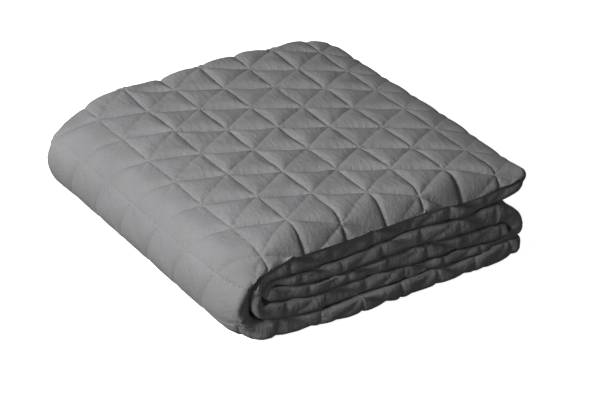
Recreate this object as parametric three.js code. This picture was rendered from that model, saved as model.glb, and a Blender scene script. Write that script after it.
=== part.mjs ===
// A quilted blanket of 150 x 200 cm, folded for a shelf. The cloth is folded in half twice
// along its length, into a strip four layers thick, and the strip is then laid in six panels,
// one over another. It is one piece of cloth, so it is one solid: the section of the four
// layers, carried along the path that the strip takes through the pile.
// Units are millimetres, +Z is up, and the origin is at the middle of the underside.
// +X runs along the front from the wide left fold, and the front folds face -Y.

import * as THREE from 'three';

// Driving dimensions
const stripDepth = 370;
const triangleSide = 54.5;
const stitchLineSpacing = (triangleSide * Math.sqrt(3)) / 2;
const puffRise = 2.3;
const layerGap = 0.4;
const panelGap = 1;
const turnRoom = 2;

// Where the quilting falls on the top panel: a stitch line at this x, a crossing at this y
const stitchLineX = 4.6;
const crossingY = triangleSide / 4;

// The front fold of a panel is squarish, and reaches out by a share of its thickness. On the top
// panel and the left fold the outer layer drapes instead: it slopes down to a rim and tucks in
// below. A rim is at a share of half the thickness, and the tuck goes back by a share of the reach.
const squareFold = { reach: 0.4, squareness: 0.5 };
const drapedFold = { reach: 1.1, rim: -0.75, tuck: 0.3 };
const rimAngle = THREE.MathUtils.degToRad(125);
const backFoldRoom = 1;
const hemReach = 0.4;

// The two sewn edges of the cloth end short of the back fold, by these lengths
const innerHemSetback = 10;
const outerHemSetback = 4;

// Steps of the mesh
const samplesPerStop = 60;
const turnSteps = 6;
const stationsPerTriangle = { open: 3, closed: 2 };
const rowsPerTriangle = 6;
const puffFullness = 0.6;
const openEnough = 0.02;
const fullyOpen = 0.99;
const closestRows = 2;
const sameOrder = 1e-6;
const largestTurn = THREE.MathUtils.degToRad(28);
const closestStations = 4;
const closestStops = 4;
const foldSteps = { front: 6, back: 4, lining: 4, slit: 2, hem: 2 };

// Sections across the pile, from the left fold to the right. Each row has the height of the
// top panel's stitch lines, and of the crease below each panel down to the fifth. wedge is
// the gap that opens under the second panel, where the top fold lifts off the pile, and toe
// is how far the front fold of the bottom panel stands out.
const section = (x, crown, top, second, third, fourth, fifth, wedge, toe) => (
  { x, crown, top, second, third, fourth, fifth, wedge, toe }
);
const sections = [
  section(-126, 104.3, 84.0, 68.6, 61.5, 45.0, 25.0, 0, -8),
  section(-104, 107.4, 87.5, 67.3, 55.5, 39.8, 20.8, 0, -1),
  section(-78, 109.6, 86.8, 66.0, 51.0, 36.0, 18.8, 0, 1),
  section(-44, 111.0, 87.0, 66.1, 49.8, 36.9, 18.4, 0, 4),
  section(3, 111.5, 88.4, 69.8, 52.4, 35.5, 19.7, 0, 5),
  section(55, 111.6, 90.2, 72.0, 51.4, 32.6, 19.4, 0, 4),
  section(102, 111.0, 87.0, 67.8, 48.3, 30.8, 18.5, 1, 5),
  section(144, 108.2, 89.0, 70.5, 45.0, 31.4, 21.4, 7, 4),
];

const wedgeCrease = 'second';

// The six panels in the order in which the strip runs, from its end under the pile to its end
// inside it. above and below name the columns of the sections, left and right are the ends of
// its run, with the height of its middle and its thickness there, setback is how far its front
// fold stands behind the foremost one, backSetback how far its back edge is drawn in at the
// right, and open is 1 where its outer face is free to puff up and its front fold drapes.
// The first panel runs to the left, and each one after it runs back.
const end = (x, mid, thick) => ({ x, mid, thick });
const panels = [
  {
    above: 'fifth', below: null, setback: 0, backSetback: 0, open: 0,
    left: end(-137, 11.5, 21), right: end(171.5, 12, 20),
  },
  {
    above: 'crown', below: 'top', setback: 0, backSetback: 9, open: 1,
    left: end(-150, 84, 19), right: end(164.5, 98.6, 13.4),
  },
  {
    above: 'top', below: 'second', setback: 5, backSetback: 9, open: 0,
    left: end(-127, 75, 13), right: end(164.5, 84.2, 12.6),
  },
  {
    above: 'fourth', below: 'fifth', setback: 1, backSetback: 0, open: 0,
    left: end(-130, 35, 18), right: end(153, 26.4, 9),
  },
  {
    above: 'second', below: 'third', setback: 3, backSetback: 0, open: 0,
    left: end(-123, 64.6, 6), right: end(153, 53.5, 17),
  },
  {
    above: 'third', below: 'fourth', setback: 2, backSetback: 0, open: 0,
    left: end(-122, 53, 14), right: end(149, 38.4, 8),
  },
];

// The half turns from each panel to the next. bulge is how far a turn reaches out, sag how much
// further its lower half does, thick its thickness half way round, backSetback how far its back
// edge is drawn in there, and drape is 1 where its front fold drapes to a rim.
const turns = [
  { bulge: 22, sag: 0, thick: 27, backSetback: 0, drape: 1, rim: -0.45 },
  { bulge: 7.2, sag: 0, thick: 12.4, backSetback: 24, drape: 0, rim: drapedFold.rim },
  { bulge: 13, sag: 2, thick: 12, backSetback: 0, drape: 0, rim: drapedFold.rim },
  { bulge: 13.5, sag: 4, thick: 13, backSetback: 0, drape: 0, rim: drapedFold.rim },
  { bulge: 5, sag: 0, thick: 7, backSetback: 0, drape: 0, rim: drapedFold.rim },
];

// Uneven places of the top panel: swells and hollows along its back edge
const swells = [
  { x: -94, y: 176, rise: 4, reach: 26 },
  { x: -152, y: 176, rise: -3, reach: 24 },
  { x: -20, y: 184, rise: 2.6, reach: 45 },
  { x: 52, y: 184, rise: 2.2, reach: 40 },
];

const headingOf = (index) => (index % 2 === 0 ? -1 : 1);

// The stops of one panel: the middle of its layers, its thickness and its make-up, in the
// direction in which the strip runs there.
function panelStops(panel, index) {
  const { left, right } = panel;
  const inRun = sections.filter((section) => section.x > left.x + closestStops && section.x < right.x);
  const stops = inRun.map((section) => {
    const wedge = section.wedge / 2;
    const high = section[panel.above] - (panel.above === wedgeCrease ? wedge : 0);
    const low = (panel.below ? section[panel.below] : 0) + (panel.below === wedgeCrease ? wedge : 0);
    const room = panel.below ? panelGap : panelGap / 2;
    const lift = panel.below ? 0 : panelGap / 4;
    const setback = panel.below ? panel.setback : -section.toe;
    const thick = high - low - room;
    return { x: section.x, z: (high + low) / 2 - lift, thick, setback, backSetback: 0 };
  });
  const endStop = (place, near, backSetback) => (
    { x: place.x, z: place.mid, thick: place.thick, setback: near.setback, backSetback }
  );
  stops.unshift(endStop(left, stops[0], 0));
  stops.push(endStop(right, stops[stops.length - 1], panel.backSetback));
  if (headingOf(index) < 0) stops.reverse();
  const { reach } = panel.open ? drapedFold : squareFold;
  return stops.map((stop) => ({ ...stop, open: panel.open, drape: panel.open, rim: drapedFold.rim, reach }));
}

// The half turn that takes the strip from the end of one panel to the start of the next.
function turnStops(from, to, heading, turn) {
  const stops = [];
  const radius = Math.abs(to.z - from.z) / 2;
  const lowerFirst = from.z < to.z ? 1 : -1;
  for (let step = 1; step < turnSteps; step += 1) {
    const angle = (Math.PI * step) / turnSteps;
    const share = (1 - Math.cos(angle)) / 2;
    const fully = Math.sin(angle);
    const mix = (key) => THREE.MathUtils.lerp(from[key], to[key], share);
    const mixTurn = (key) => THREE.MathUtils.lerp(mix(key), turn[key], fully);
    const outwards = turn.bulge + turn.sag * (1 + lowerFirst * Math.cos(angle));
    stops.push({
      x: mix('x') + heading * outwards * fully,
      z: mix('z'),
      thick: Math.min(mixTurn('thick'), 2 * radius - turnRoom),
      open: mix('open'),
      setback: mix('setback'),
      backSetback: mixTurn('backSetback'),
      reach: mix('reach'),
      drape: mixTurn('drape'),
      rim: mixTurn('rim'),
    });
  }
  return stops;
}

function stripStops() {
  const runs = panels.map(panelStops);
  return runs.flatMap((run, index) => {
    const next = runs[index + 1];
    if (!next) return run;
    return [...run, ...turnStops(run[run.length - 1], next[0], headingOf(index), turns[index])];
  });
}

// The path through the pile, finely sampled. side is the direction of the cloth's outer face,
// and along is the length of cloth to that point, measured on the outer face where it is open.
function stripSamples() {
  const stops = stripStops();
  const middle = new THREE.CatmullRomCurve3(stops.map((stop) => new THREE.Vector3(stop.x, 0, stop.z)));
  const makeUp = new THREE.CatmullRomCurve3(
    stops.map((stop) => new THREE.Vector3(stop.thick, stop.open, stop.setback)),
  );
  const count = samplesPerStop * (stops.length - 1);
  const samples = [];
  for (let index = 0; index <= count; index += 1) {
    const point = middle.getPoint(index / count);
    const tangent = middle.getTangent(index / count);
    const [thick, open, setback] = makeUp.getPoint(index / count).toArray();
    const side = new THREE.Vector2(-tangent.z, tangent.x).normalize();
    const near = Math.min(Math.floor(index / samplesPerStop), stops.length - 2);
    const share = index / samplesPerStop - near;
    const evenly = (key) => THREE.MathUtils.lerp(stops[near][key], stops[near + 1][key], share);
    samples.push({
      centre: new THREE.Vector2(point.x, point.z),
      side,
      thick,
      open: THREE.MathUtils.clamp(open, 0, 1),
      setback,
      backSetback: evenly('backSetback'),
      reach: evenly('reach'),
      drape: evenly('drape'),
      rim: evenly('rim'),
    });
  }
  let along = 0;
  samples.forEach((sample, index) => {
    const last = samples[Math.max(index - 1, 0)];
    const outer = (place) => place.centre.clone().addScaledVector(place.side, place.thick / 2);
    const middleStep = sample.centre.distanceTo(last.centre);
    const outerStep = outer(sample).distanceTo(outer(last));
    along += THREE.MathUtils.lerp(middleStep, outerStep, sample.open);
    sample.along = along;
  });
  const onTop = samples.find((sample) => sample.open > fullyOpen && sample.centre.x >= stitchLineX);
  const start = onTop.along;
  samples.forEach((sample) => {
    sample.along -= start;
  });
  return samples;
}

// The stations that the mesh uses: on the stitch lines and at even steps between them, and
// more of them wherever the strip turns.
function stripStations() {
  const samples = stripSamples();
  const stations = [samples[0]];
  let previous = samples[0];
  samples.slice(1, -1).forEach((sample) => {
    const last = stations[stations.length - 1];
    const steps = sample.open > openEnough ? stationsPerTriangle.open : stationsPerTriangle.closed;
    const step = stitchLineSpacing / steps;
    const onLine = Math.floor(sample.along / step) !== Math.floor(previous.along / step);
    const turn = Math.acos(THREE.MathUtils.clamp(sample.side.dot(last.side), -1, 1));
    const clear = sample.centre.distanceTo(last.centre) > closestStations;
    if ((onLine && clear) || turn > largestTurn) stations.push(sample);
    previous = sample;
  });
  const end = samples[samples.length - 1];
  if (end.centre.distanceTo(stations[stations.length - 1].centre) < closestStations) stations.pop();
  stations.push(end);
  return stations;
}

// How far a point lies up the puff of its quilted triangle: 0 on the stitch lines, 1 in the
// middle. The three families of lines are 60 degrees apart.
function puff(along, across) {
  const fraction = (value) => value - Math.floor(value);
  const first = along / stitchLineSpacing;
  const rising = (across - crossingY) / triangleSide - first / 2;
  const falling = rising + first;
  const upright = fraction(first) + fraction(rising) < 1;
  const shares = upright
    ? [fraction(first), fraction(rising), 1 - fraction(falling)]
    : [1 - fraction(first), 1 - fraction(rising), fraction(falling)];
  const product = 27 * shares[0] * shares[1] * shares[2];
  return product ** puffFullness;
}

// How far the uneven places lift the top panel at a point.
function swelling(x, y) {
  return swells.reduce((sum, swell) => {
    const away = Math.hypot(x - swell.x, y - swell.y) / swell.reach;
    return sum + swell.rise * Math.exp(-away * away);
  }, 0);
}

// Whether the slanting stitch line through this cell of the quilting rises with the strip.
function stitchRises(along, across) {
  const column = Math.floor(along / stitchLineSpacing);
  const row = Math.floor(((across - crossingY) * 2) / triangleSide);
  return (row - column) % 2 === 0;
}

// The front fold of the outer layer at one angle of its turn, as shares of the fold's reach and
// of half the thickness, with how free the quilting is to rise there.
function frontFold(angle, drape, rim) {
  const square = (value) => Math.sign(value) * Math.abs(value) ** squareFold.squareness;
  const slope = (Math.min(angle / rimAngle, 1) * Math.PI) / 2;
  const tuck = (Math.max((angle - rimAngle) / (Math.PI - rimAngle), 0) * Math.PI) / 2;
  const drapedOut = Math.sin(slope) - drapedFold.tuck * (1 - Math.cos(tuck));
  const drapedUp = rim + (1 - rim) * Math.cos(slope) - (1 + rim) * Math.sin(tuck);
  return {
    out: THREE.MathUtils.lerp(square(Math.sin(angle)), drapedOut, drape),
    up: THREE.MathUtils.lerp(square(Math.cos(angle)), drapedUp, drape),
    free: THREE.MathUtils.lerp(Math.sin(angle) ** 2, Math.sin(slope) * Math.cos(tuck) ** 2, drape),
  };
}

// The closed outline of the four layers at one station. y runs from front to back, n is the
// height from the strip's middle towards its outer face, and order places the point along
// the outline, so that outlines with more or fewer points can be joined.
function layerOutline(station) {
  const { thick, open, along, drape, rim } = station;
  const half = thick / 2;
  const layer = (thick - 3 * layerGap) / 4;
  const inner = half - layer - layerGap;
  const reach = station.reach * thick;
  const backReach = layer + backFoldRoom;
  const frontY = -stripDepth / 2 + station.setback + reach;
  const back = stripDepth / 2 - station.backSetback;
  const backY = back - backReach;
  const outline = [];

  const nextOrder = () => Math.floor(outline.length ? outline[outline.length - 1].order : 0) + 1;

  // A half round from one height to another, bulging along y, with a lift at its end
  const halfRound = (y, bulge, from, to, steps, lift = () => 0) => {
    const start = nextOrder();
    for (let step = 0; step <= steps; step += 1) {
      const angle = (Math.PI * step) / steps;
      const share = (1 - Math.cos(angle)) / 2;
      const placeY = y + bulge * Math.sin(angle);
      const n = THREE.MathUtils.lerp(from, to, share) + share * lift(placeY);
      outline.push({ y: placeY, n, order: start + step / (steps + 1) });
    }
  };

  // Quilting and swells of the outer face, where it is free
  const swell = (y) => open * swelling(station.centre.x, y);
  if (open > openEnough) {
    const rowStep = triangleSide / rowsPerTriangle;
    const firstRow = Math.floor((backY - closestRows) / rowStep);
    for (let row = firstRow; row * rowStep > frontY + closestRows; row -= 1) {
      const y = row * rowStep;
      const order = (backY - y) / (backY - frontY);
      outline.push({ y, n: half + open * puffRise * puff(along, y) + swell(y), order });
    }
  }
  const foldStart = nextOrder();
  let across = frontY;
  let last = { y: 0, n: half };
  for (let step = 0; step <= foldSteps.front; step += 1) {
    const angle = (Math.PI * step) / foldSteps.front;
    const { out, up, free } = frontFold(angle, drape, rim);
    const here = { y: -reach * out, n: half * up };
    across -= Math.hypot(here.y - last.y, here.n - last.n);
    const freely = angle < Math.PI / 2 ? THREE.MathUtils.lerp(free, 1, open) : free;
    const raised = freely * puffRise * puff(along, across);
    outline.push({
      y: frontY + here.y - raised * out,
      n: here.n + raised * up,
      order: foldStart + step / (foldSteps.front + 1),
    });
    last = here;
  }
  halfRound(back - outerHemSetback, hemReach * layer, -half, -half + layer, foldSteps.hem);
  halfRound(frontY, layer - reach, layer - half, half - layer, foldSteps.lining);
  halfRound(backY, backFoldRoom, half - layer, inner, foldSteps.slit);
  halfRound(frontY, layer + layerGap - reach, inner, -inner, foldSteps.lining);
  halfRound(back - innerHemSetback, hemReach * layer, -inner, -layerGap / 2, foldSteps.hem);
  halfRound(frontY, 2 * layer + layerGap - reach, -layerGap / 2, layerGap / 2, foldSteps.slit);
  halfRound(backY, backReach, layerGap / 2, half, foldSteps.back, swell);
  return outline;
}

// Joins two outlines of neighbouring stations, whichever has the more points.
function joinOutlines(first, second, triangles) {
  const fullTurn = Math.ceil(first[first.length - 1].order) + 1;
  const pointAt = (outline, index) => outline[index % outline.length];
  const orderAt = (outline, index) => {
    const turned = index < outline.length ? 0 : fullTurn;
    return pointAt(outline, index).order + turned;
  };
  let here = 0;
  let there = 0;
  while (here < first.length || there < second.length) {
    const lead = orderAt(first, here + 1) - orderAt(second, there + 1);
    const [start, startNext] = [pointAt(first, here), pointAt(first, here + 1)];
    const [end, endNext] = [pointAt(second, there), pointAt(second, there + 1)];
    const bothLeft = here < first.length && there < second.length;
    if (bothLeft && Math.abs(lead) < sameOrder) {
      if (stitchRises((start.along + end.along) / 2, (start.y + startNext.y) / 2)) {
        triangles.push(start.vertex, startNext.vertex, end.vertex);
        triangles.push(startNext.vertex, endNext.vertex, end.vertex);
      } else {
        triangles.push(start.vertex, startNext.vertex, endNext.vertex);
        triangles.push(start.vertex, endNext.vertex, end.vertex);
      }
      here += 1;
      there += 1;
    } else if (there >= second.length || (here < first.length && lead < 0)) {
      triangles.push(start.vertex, startNext.vertex, end.vertex);
      here += 1;
    } else {
      triangles.push(start.vertex, endNext.vertex, end.vertex);
      there += 1;
    }
  }
}

// The cut end of the strip, facing along it or against it.
function capOutline(outline, forwards, triangles) {
  const contour = outline.map((point) => new THREE.Vector2(point.y, point.n));
  THREE.ShapeUtils.triangulateShape(contour, []).forEach((face) => {
    const corners = face.map((index) => outline[index].vertex);
    if (!forwards) corners.reverse();
    triangles.push(...corners);
  });
}

function blanketGeometry() {
  const positions = [];
  const triangles = [];
  const outlines = stripStations().map((station) => {
    const outline = layerOutline(station);
    outline.forEach((point) => {
      const place = station.centre.clone().addScaledVector(station.side, point.n);
      point.vertex = positions.length / 3;
      point.along = station.along;
      positions.push(place.x, point.y, Math.max(place.y, 0));
    });
    return outline;
  });
  outlines.slice(1).forEach((outline, index) => joinOutlines(outlines[index], outline, triangles));
  capOutline(outlines[0], false, triangles);
  capOutline(outlines[outlines.length - 1], true, triangles);

  const geometry = new THREE.BufferGeometry();
  geometry.setAttribute('position', new THREE.Float32BufferAttribute(positions, 3));
  geometry.setIndex(triangles);
  geometry.computeBoundingBox();
  const middle = geometry.boundingBox.getCenter(new THREE.Vector3());
  geometry.translate(-middle.x, -middle.y, -geometry.boundingBox.min.z);
  geometry.computeVertexNormals();
  return geometry;
}

const quiltedCloth = new THREE.MeshStandardMaterial({ color: 0x6d6e70, roughness: 0.9, metalness: 0 });
const blanket = new THREE.Mesh(blanketGeometry(), quiltedCloth);
blanket.name = 'blanket';

const foldedBlanket = new THREE.Group();
foldedBlanket.add(blanket);

export default foldedBlanket;
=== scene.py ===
# %% [markdown]
# # A quilted blanket, folded for a shelf
# The object is one cloth of 150 x 200 cm, quilted in triangles. It is folded in half twice
# along its length, which makes a strip of four layers, and the strip is laid in six panels,
# one over another. A block with a quilted texture would be quicker to make, but the edges
# of the pile show how the cloth runs, so this lesson bends one closed sheet through all
# of its folds and lets the quilting rise on every face that is free.

# %% Load the frame
import math
from collections import namedtuple

import bpy
import numpy as np
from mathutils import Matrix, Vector


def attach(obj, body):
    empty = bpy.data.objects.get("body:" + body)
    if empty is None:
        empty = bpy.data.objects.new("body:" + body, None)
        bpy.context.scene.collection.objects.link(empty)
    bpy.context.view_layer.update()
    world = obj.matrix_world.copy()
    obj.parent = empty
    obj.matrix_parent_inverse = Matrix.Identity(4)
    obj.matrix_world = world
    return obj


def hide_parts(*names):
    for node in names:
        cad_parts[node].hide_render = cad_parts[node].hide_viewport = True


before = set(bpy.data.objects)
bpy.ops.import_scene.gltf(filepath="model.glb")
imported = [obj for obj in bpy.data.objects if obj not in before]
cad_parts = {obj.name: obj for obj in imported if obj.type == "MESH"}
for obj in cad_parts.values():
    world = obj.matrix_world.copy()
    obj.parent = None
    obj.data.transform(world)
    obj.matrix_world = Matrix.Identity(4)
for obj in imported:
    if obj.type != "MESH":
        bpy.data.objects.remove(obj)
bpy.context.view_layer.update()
print("nodes in the frame:", len(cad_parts))

# %% [markdown]
# ## The camera
# The picture was taken with a long lens, from the left of the front and well above it. Lines
# that are parallel on the cloth stay nearly parallel there, so a lens of about 128 mm from two
# metres away gives the same view. It comes first, because everything else is judged through it.

# %% Camera
LENS = 127.9
CAMERA_PLACE = Vector((-1.0566, -1.6802, 1.1519))
CAMERA_TURN = math.radians(32.8)
CAMERA_DROP = math.radians(29.46)


def add_object(name, data):
    """A new object in the scene."""
    added = bpy.data.objects.new(name, data)
    bpy.context.scene.collection.objects.link(added)
    return added


view_direction = Vector((
    math.sin(CAMERA_TURN) * math.cos(CAMERA_DROP),
    math.cos(CAMERA_TURN) * math.cos(CAMERA_DROP),
    -math.sin(CAMERA_DROP),
))
camera = add_object("camera", bpy.data.cameras.new("camera"))
camera.data.lens = LENS
camera.location = CAMERA_PLACE
camera.rotation_euler = view_direction.to_track_quat("-Z", "Y").to_euler()
bpy.context.scene.camera = camera
print("camera looks along", tuple(round(part, 3) for part in view_direction))

# %% [markdown]
# ## The sizes of the cloth
# Quilting like this is measured by its triangles, so their side is the size that the others
# follow. The lengths here are in millimetres, as a tailor would give them, and the mesh is
# brought to metres when it is made.

# %% Sizes, in millimetres
STRIP_DEPTH = 370
TRIANGLE_SIDE = 54.5
LINE_SPACING = TRIANGLE_SIDE * math.sqrt(3) / 2
LAYERS = 4
LAYER_GAP = 0.5
PANEL_GAP = 0.8
MILLIMETRE = 0.001

# On the top there is a stitch line at this x, with a crossing of the lines at this y
STITCH_LINE_X = 4.6
CROSSING_Y = TRIANGLE_SIDE / 4

# The two sewn edges end short of the back fold, and each is rounded by a share of its layer
BACK_FOLD_ROOM = 1
INNER_HEM_SETBACK = 10
OUTER_HEM_SETBACK = 4
HEM_REACH = 0.4

# The underside is pressed this far into the shelf, and the shift brings its middle to the origin
UNDERSIDE_SINK = 1.0
CENTRE_SHIFT = (1.088, 3.334)

print("stitch lines are", round(LINE_SPACING, 1), "mm apart")

# %% [markdown]
# ## The panels and the creases between them
# Seen from the front, the creases between the panels aren't level: the pile is thicker at the
# left fold, and the top fold lifts off it at the right. Each row of the first table is a cut
# through the pile, with the height of the top stitch lines and of every crease below. The
# second table has the six panels in the order in which the strip runs, and the third has the
# half turns between them.

# %% Tables of the pile
# wedge is the gap that opens under the second panel, toe is how far the bottom panel comes
# forward, and fullness is how far the quilting rises on the top
Section = namedtuple("Section", "x crown top second third fourth fifth wedge toe fullness")
SECTIONS = [
    Section(-126, 104.6, 84.0, 68.6, 61.5, 45.0, 25.0, 0, -6, 0.75),
    Section(-104, 108.3, 87.5, 67.3, 55.5, 39.8, 20.8, 0, -3.5, 0.9),
    Section(-78, 110.3, 86.8, 66.0, 51.0, 36.0, 18.8, 0, 0, 1.0),
    Section(-44, 111.0, 87.0, 66.1, 49.8, 36.9, 18.4, 0, 3, 1.0),
    Section(3, 111.5, 88.4, 69.8, 52.4, 35.5, 19.7, 0, 3.5, 1.0),
    Section(55, 111.4, 90.2, 72.0, 51.4, 32.6, 19.4, 0, -0.5, 1.0),
    Section(102, 110.0, 87.0, 67.8, 48.3, 30.8, 18.5, 1, 1, 1.0),
    Section(144, 106.6, 88.0, 70.5, 44.8, 27.2, 21.0, 3, -0.5, 0.8),
]

# A panel lies between two creases. left and right are the ends of its run, with the values that
# it has there. Its front is set back, reaches forward in a bend, which is a share of its
# thickness, and is square or draped, with its lowest part, the rim, some way down. outer and
# inner are how freely the quilting rises on its two faces, and back draws its back in
SQUARE_REACH = 0.4
SQUARE_RIM = -0.75
Panel = namedtuple(
    "Panel", "above below left right setback reach drape rim outer",
    defaults=(0, SQUARE_REACH, 0, SQUARE_RIM, 0))
End = namedtuple(
    "End", "x mid thick setback reach drape rim back outer inner",
    defaults=(0, SQUARE_REACH, 0, SQUARE_RIM, 0, 0, 0))
PANELS = [
    Panel(
        "fifth", None,
        End(-134, 11.5, 21, setback=5, reach=0.5, drape=0.3, rim=-0.2, outer=0.2),
        End(173, 13.5, 17, setback=2, reach=0.5, outer=0.35, inner=0.4),
        outer=0.35),
    Panel(
        "crown", "top",
        End(-141, 89.6, 20, reach=1.6, drape=1, rim=-1.2, outer=0.5),
        End(169.6, 96.8, 11.6, reach=1.5, drape=1, rim=-0.9, back=12, outer=0.4),
        reach=1.2, drape=1, rim=-1.05),
    Panel(
        "top", "second",
        End(-127, 75, 13, setback=4),
        End(169.5, 84.4, 11.6, setback=3, back=9, outer=0.4),
        setback=3),
    Panel(
        "fourth", "fifth",
        End(-130, 35, 18, setback=1),
        End(153, 24.8, 7, setback=3, inner=0.4),
        setback=1),
    Panel(
        "second", "third",
        End(-123, 64.6, 6, setback=3),
        End(153, 54.2, 16, setback=3, inner=0.4),
        setback=2),
    Panel(
        "third", "fourth",
        End(-128, 52.5, 15, setback=2),
        End(156.5, 36.6, 15, setback=2),
        setback=2),
]

# A half turn bulges, and its lower half sags outwards. Its rim is given as it leaves the first
# panel and as it comes to the next
Turn = namedtuple(
    "Turn", "bulge sag thick reach drape rim outer inner back",
    defaults=(SQUARE_REACH, 0, (SQUARE_RIM, SQUARE_RIM), 0, 0, 0))
TURNS = [
    Turn(20.5, 5.5, 27, reach=2.4, drape=1, rim=(0.15, -1.2), outer=0.25),
    Turn(7.8, 0, 10.4, reach=0.9, drape=0.8, outer=0.4, back=24),
    Turn(13, 2, 12),
    Turn(10, 8, 17, inner=0.5),
    Turn(5, 2, 7),
]
print(len(PANELS), "panels,", len(TURNS), "turns")

# %% [markdown]
# ## The path of the strip
# The path could be a curve object. A few lines of arithmetic give a curve that is as smooth,
# and they also give the length of cloth up to every point, which the quilting needs: its
# stitch lines are sewn on the flat cloth, so they follow that length round each fold.

# %% Stops on the panels
Stop = namedtuple("Stop", "x z thick open setback back reach drape rim outer inner sink")
CLOSEST_STOP = 4
WEDGE_CREASE = "second"
RIGHT_END = (105, 150)


def mix(start, end, share):
    """The value that lies this share of the way from start to end."""
    return start + (end - start) * share


def panel_end(end, near):
    """The stop at one end of a panel, which takes what it doesn't say from the nearest section."""
    own = end._asdict()
    return near._replace(z=own.pop("mid"), **own)


def panel_stops(index, panel):
    """The middle of one panel, its thickness and its make-up at every section."""
    on_top = panel.above == "crown"
    room = PANEL_GAP if panel.below else PANEL_GAP / 2
    lowered = 0 if panel.below else PANEL_GAP / 4
    stops = []
    for section in SECTIONS:
        if not panel.left.x + CLOSEST_STOP < section.x < panel.right.x:
            continue
        half_wedge = section.wedge / 2
        high = getattr(section, panel.above)
        low = getattr(section, panel.below) if panel.below else 0
        high -= half_wedge if panel.above == WEDGE_CREASE else 0
        low += half_wedge if panel.below == WEDGE_CREASE else 0
        end_share = np.interp(section.x, RIGHT_END, (0, 1))
        stops.append(Stop(
            x=section.x,
            z=(high + low) / 2 - lowered,
            thick=high - low - room,
            open=float(on_top),
            setback=panel.setback if panel.below else -section.toe,
            back=0,
            reach=panel.reach,
            drape=panel.drape,
            rim=panel.rim,
            outer=section.fullness if on_top else mix(panel.outer, panel.right.outer, end_share),
            inner=panel.right.inner * end_share,
            sink=0 if panel.below else UNDERSIDE_SINK,
        ))
    stops = [panel_end(panel.left, stops[0]), *stops, panel_end(panel.right, stops[-1])]
    heads_left = index % 2 == 0
    return stops[::-1] if heads_left else stops


runs = [panel_stops(index, panel) for index, panel in enumerate(PANELS)]
print(sum(len(run) for run in runs), "stops on the panels")

# %% Stops on the turns and at the tips
TURN_STEPS = 6
TURN_ROOM = 2
RIM_LATENESS = 5
TIP_LENGTH = 6
TIP_THICK = 0.6


def turn_stops(turn, start, end, direction):
    """The half turn that takes the strip from one panel to the next. Its rim changes late."""
    radius = abs(end.z - start.z) / 2
    lower_first = 1 if start.z < end.z else -1
    stops = []
    for step in range(1, TURN_STEPS):
        angle = math.pi * step / TURN_STEPS
        share = (1 - math.cos(angle)) / 2
        fully = math.sin(angle)
        near = Stop(*(mix(a, b, share) for a, b in zip(start, end)))
        outwards = turn.bulge + turn.sag * (1 + lower_first * math.cos(angle))
        own_keys = ("back", "reach", "drape", "outer", "inner")
        own = {key: mix(getattr(near, key), getattr(turn, key), fully) for key in own_keys}
        stops.append(near._replace(
            x=near.x + direction * outwards * fully,
            thick=min(mix(near.thick, turn.thick, fully), 2 * radius - TURN_ROOM),
            rim=mix(near.rim, mix(*turn.rim, share**RIM_LATENESS), fully),
            **own,
        ))
    return stops


def tip_stop(end):
    """The tapering end of the strip, a little beyond the end of its last panel."""
    return end._replace(
        x=end.x + TIP_LENGTH, thick=end.thick * TIP_THICK, setback=end.setback + TIP_LENGTH)


path_stops = [tip_stop(runs[0][0]), *runs[0]]
for index, (turn, run) in enumerate(zip(TURNS, runs[1:])):
    turn_direction = -1 if index % 2 == 0 else 1
    path_stops += turn_stops(turn, runs[index][-1], run[0], turn_direction) + run
path_stops.append(tip_stop(runs[-1][-1]))
print(len(path_stops), "stops on the path")

# %% A smooth curve through the stops
SAMPLES_PER_STOP = 60
SAME_PLACE = 1e-2


def smooth_through(points):
    """A centripetal curve through all the points, finely sampled."""
    points = np.array(points, float)
    ring = np.vstack([2 * points[0] - points[1], points, 2 * points[-1] - points[-2]])
    gaps = np.sqrt(np.linalg.norm(np.diff(ring, axis=0), axis=1))
    before, here, after = gaps[:-2].copy(), gaps[1:-1].copy(), gaps[2:].copy()
    here[here < SAME_PLACE] = 1
    before = np.where(before < SAME_PLACE, here, before)[:, None]
    after = np.where(after < SAME_PLACE, here, after)[:, None]
    here = here[:, None]
    p0, p1, p2, p3 = ring[:-3], ring[1:-2], ring[2:-1], ring[3:]
    leave = ((p1 - p0) / before - (p2 - p0) / (before + here) + (p2 - p1) / here) * here
    arrive = ((p2 - p1) / here - (p3 - p1) / (here + after) + (p3 - p2) / after) * here
    t = (np.arange(SAMPLES_PER_STOP) / SAMPLES_PER_STOP)[None, :, None]
    p1, p2, leave, arrive = (part[:, None, :] for part in (p1, p2, leave, arrive))
    cubic = (
        p1 + leave * t
        + (-3 * p1 + 3 * p2 - 2 * leave - arrive) * t**2
        + (2 * p1 - 2 * p2 + leave + arrive) * t**3
    )
    return np.vstack([cubic.reshape(-1, points.shape[1]), points[-1]])


centre_line = smooth_through([(stop.x, stop.z) for stop in path_stops])
make_up = smooth_through([(stop.thick, stop.open, stop.setback) for stop in path_stops])
print(len(centre_line), "samples on the path")

# %% The length of cloth up to every sample
FULLY_OPEN = 0.99


def straight_between(key):
    """A value of the stops, changing evenly from each to the next."""
    values = [getattr(stop, key) for stop in path_stops]
    sample_stop = np.arange(len(centre_line)) / SAMPLES_PER_STOP
    return np.interp(sample_stop, np.arange(len(values)), values)


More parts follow.
